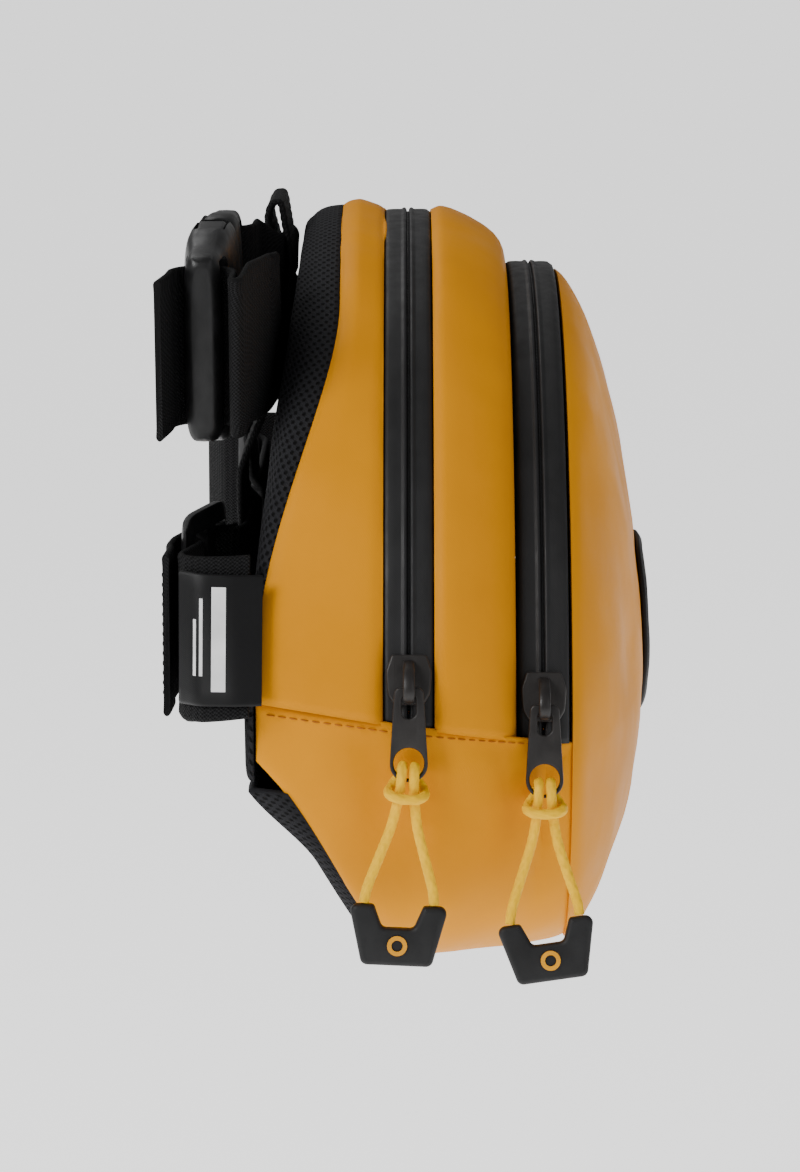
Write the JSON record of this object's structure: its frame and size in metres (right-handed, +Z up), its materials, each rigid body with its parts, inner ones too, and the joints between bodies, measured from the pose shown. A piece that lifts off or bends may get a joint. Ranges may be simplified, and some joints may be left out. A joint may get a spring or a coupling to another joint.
{
  "type": "waist bag",
  "caption": "Waist bag with two arched zip compartments, padded mesh back, folded webbing belt with side-release buckle, and corded zip pulls.",
  "frame": {"origin": "middle of the back pad's rear face, level with the middle of the belt, where the bag bears on its wearer", "axes": "+X along the bag towards the end away from the zip pulls, +Y backwards to the wearer, +Z up; the bag's front faces -Y"},
  "size_m": [0.2864, 0.1206, 0.1779],
  "materials": {
    "coated_fabric": "satin coated weave",
    "air_mesh": "open mesh",
    "foam": "matte",
    "lining": "matte",
    "patch": "satin",
    "satin_label": "satin",
    "zip_tape": "coated",
    "zip_coil": "satin",
    "painted_metal": "satin",
    "cord": "braided",
    "badge": "matte",
    "grip_rubber": "matte",
    "webbing": "ribbed weave",
    "buckle_plastic": "fine grain"
  },
  "bodies": {
    "bag": {"adjuster_left": "buckle_plastic", "adjuster_right": "buckle_plastic", "back_foam": "foam", "back_panel": "air_mesh", "belt_left": "webbing", "belt_right": "webbing", "belt_tail_left": "webbing", "belt_tail_right": "webbing", "bottom_panel": "coated_fabric", "buckle_female": "buckle_plastic", "buckle_male": "buckle_plastic", "divider": "lining", "front_panel": "coated_fabric", "front_patch": "patch", "front_zip_coil_front": "zip_coil", "front_zip_coil_rear": "zip_coil", "front_zip_stop_left": "painted_metal", "front_zip_stop_right": "painted_metal", "front_zip_tape_front": "zip_tape", "front_zip_tape_rear": "zip_tape", "lower_back_panel": "air_mesh", "main_zip_coil_front": "zip_coil", "main_zip_coil_rear": "zip_coil", "main_zip_stop_left": "painted_metal", "main_zip_stop_right": "painted_metal", "main_zip_tape_front": "zip_tape", "main_zip_tape_rear": "zip_tape", "middle_gusset": "coated_fabric", "rear_gusset": "coated_fabric", "side_label": "satin_label"},
    "main_slider": {"main_slider": "painted_metal"},
    "main_pull_tab": {"main_pull_tab": "painted_metal"},
    "main_pull_loop": {"main_pull_cord": "cord", "main_grip": "grip_rubber", "main_badge": "badge"},
    "front_slider": {"front_slider": "painted_metal"},
    "front_pull_tab": {"front_pull_tab": "painted_metal"},
    "front_pull_loop": {"front_pull_cord": "cord", "front_grip": "grip_rubber", "front_badge": "badge"},
    "prong_upper": {"buckle_prong_upper": "buckle_plastic"},
    "prong_lower": {"buckle_prong_lower": "buckle_plastic"}
  },
  "joints": [
    {"name": "main_zip_run", "type": "hinge", "parent": "bag", "child": "main_slider", "pos_m": [0, -0.027, -0.049], "axis": [0, 1, 0], "range_deg": [0, 146]},
    {"name": "main_tab_flip", "type": "hinge", "parent": "main_slider", "child": "main_pull_tab", "pos_m": [-0.13741, -0.027, -0.01002], "axis": [0, 1, 0], "range_deg": [0, 135]},
    {"name": "main_loop_swing", "type": "hinge", "parent": "main_pull_tab", "child": "main_pull_loop", "pos_m": [-0.14039, -0.027, -0.03], "axis": [0, 1, 0], "range_deg": [0, 30]},
    {"name": "front_zip_run", "type": "hinge", "parent": "bag", "child": "front_slider", "pos_m": [0, -0.0583, -0.049], "axis": [0, 1, 0], "range_deg": [0, 148.4]},
    {"name": "front_tab_flip", "type": "hinge", "parent": "front_slider", "child": "front_pull_tab", "pos_m": [-0.12617, -0.0583, -0.01631], "axis": [0, 1, 0], "range_deg": [0, 135]},
    {"name": "front_loop_swing", "type": "hinge", "parent": "front_pull_tab", "child": "front_pull_loop", "pos_m": [-0.12978, -0.0583, -0.03619], "axis": [0, 1, 0], "range_deg": [0, 30]},
    {"name": "prong_upper_squeeze", "type": "hinge", "parent": "bag", "child": "prong_upper", "pos_m": [-0.05792, 0.01918, 0.0836], "axis": [-0.0523, -0.9986, 0], "range_deg": [0, 9], "stiffness_Nm_per_rad": 0.05},
    {"name": "prong_lower_squeeze", "type": "hinge", "parent": "bag", "child": "prong_lower", "pos_m": [-0.05496, 0.01903, 0.04973], "axis": [0.0523, 0.9986, 0], "range_deg": [0, 9], "stiffness_Nm_per_rad": 0.05}
  ]
}
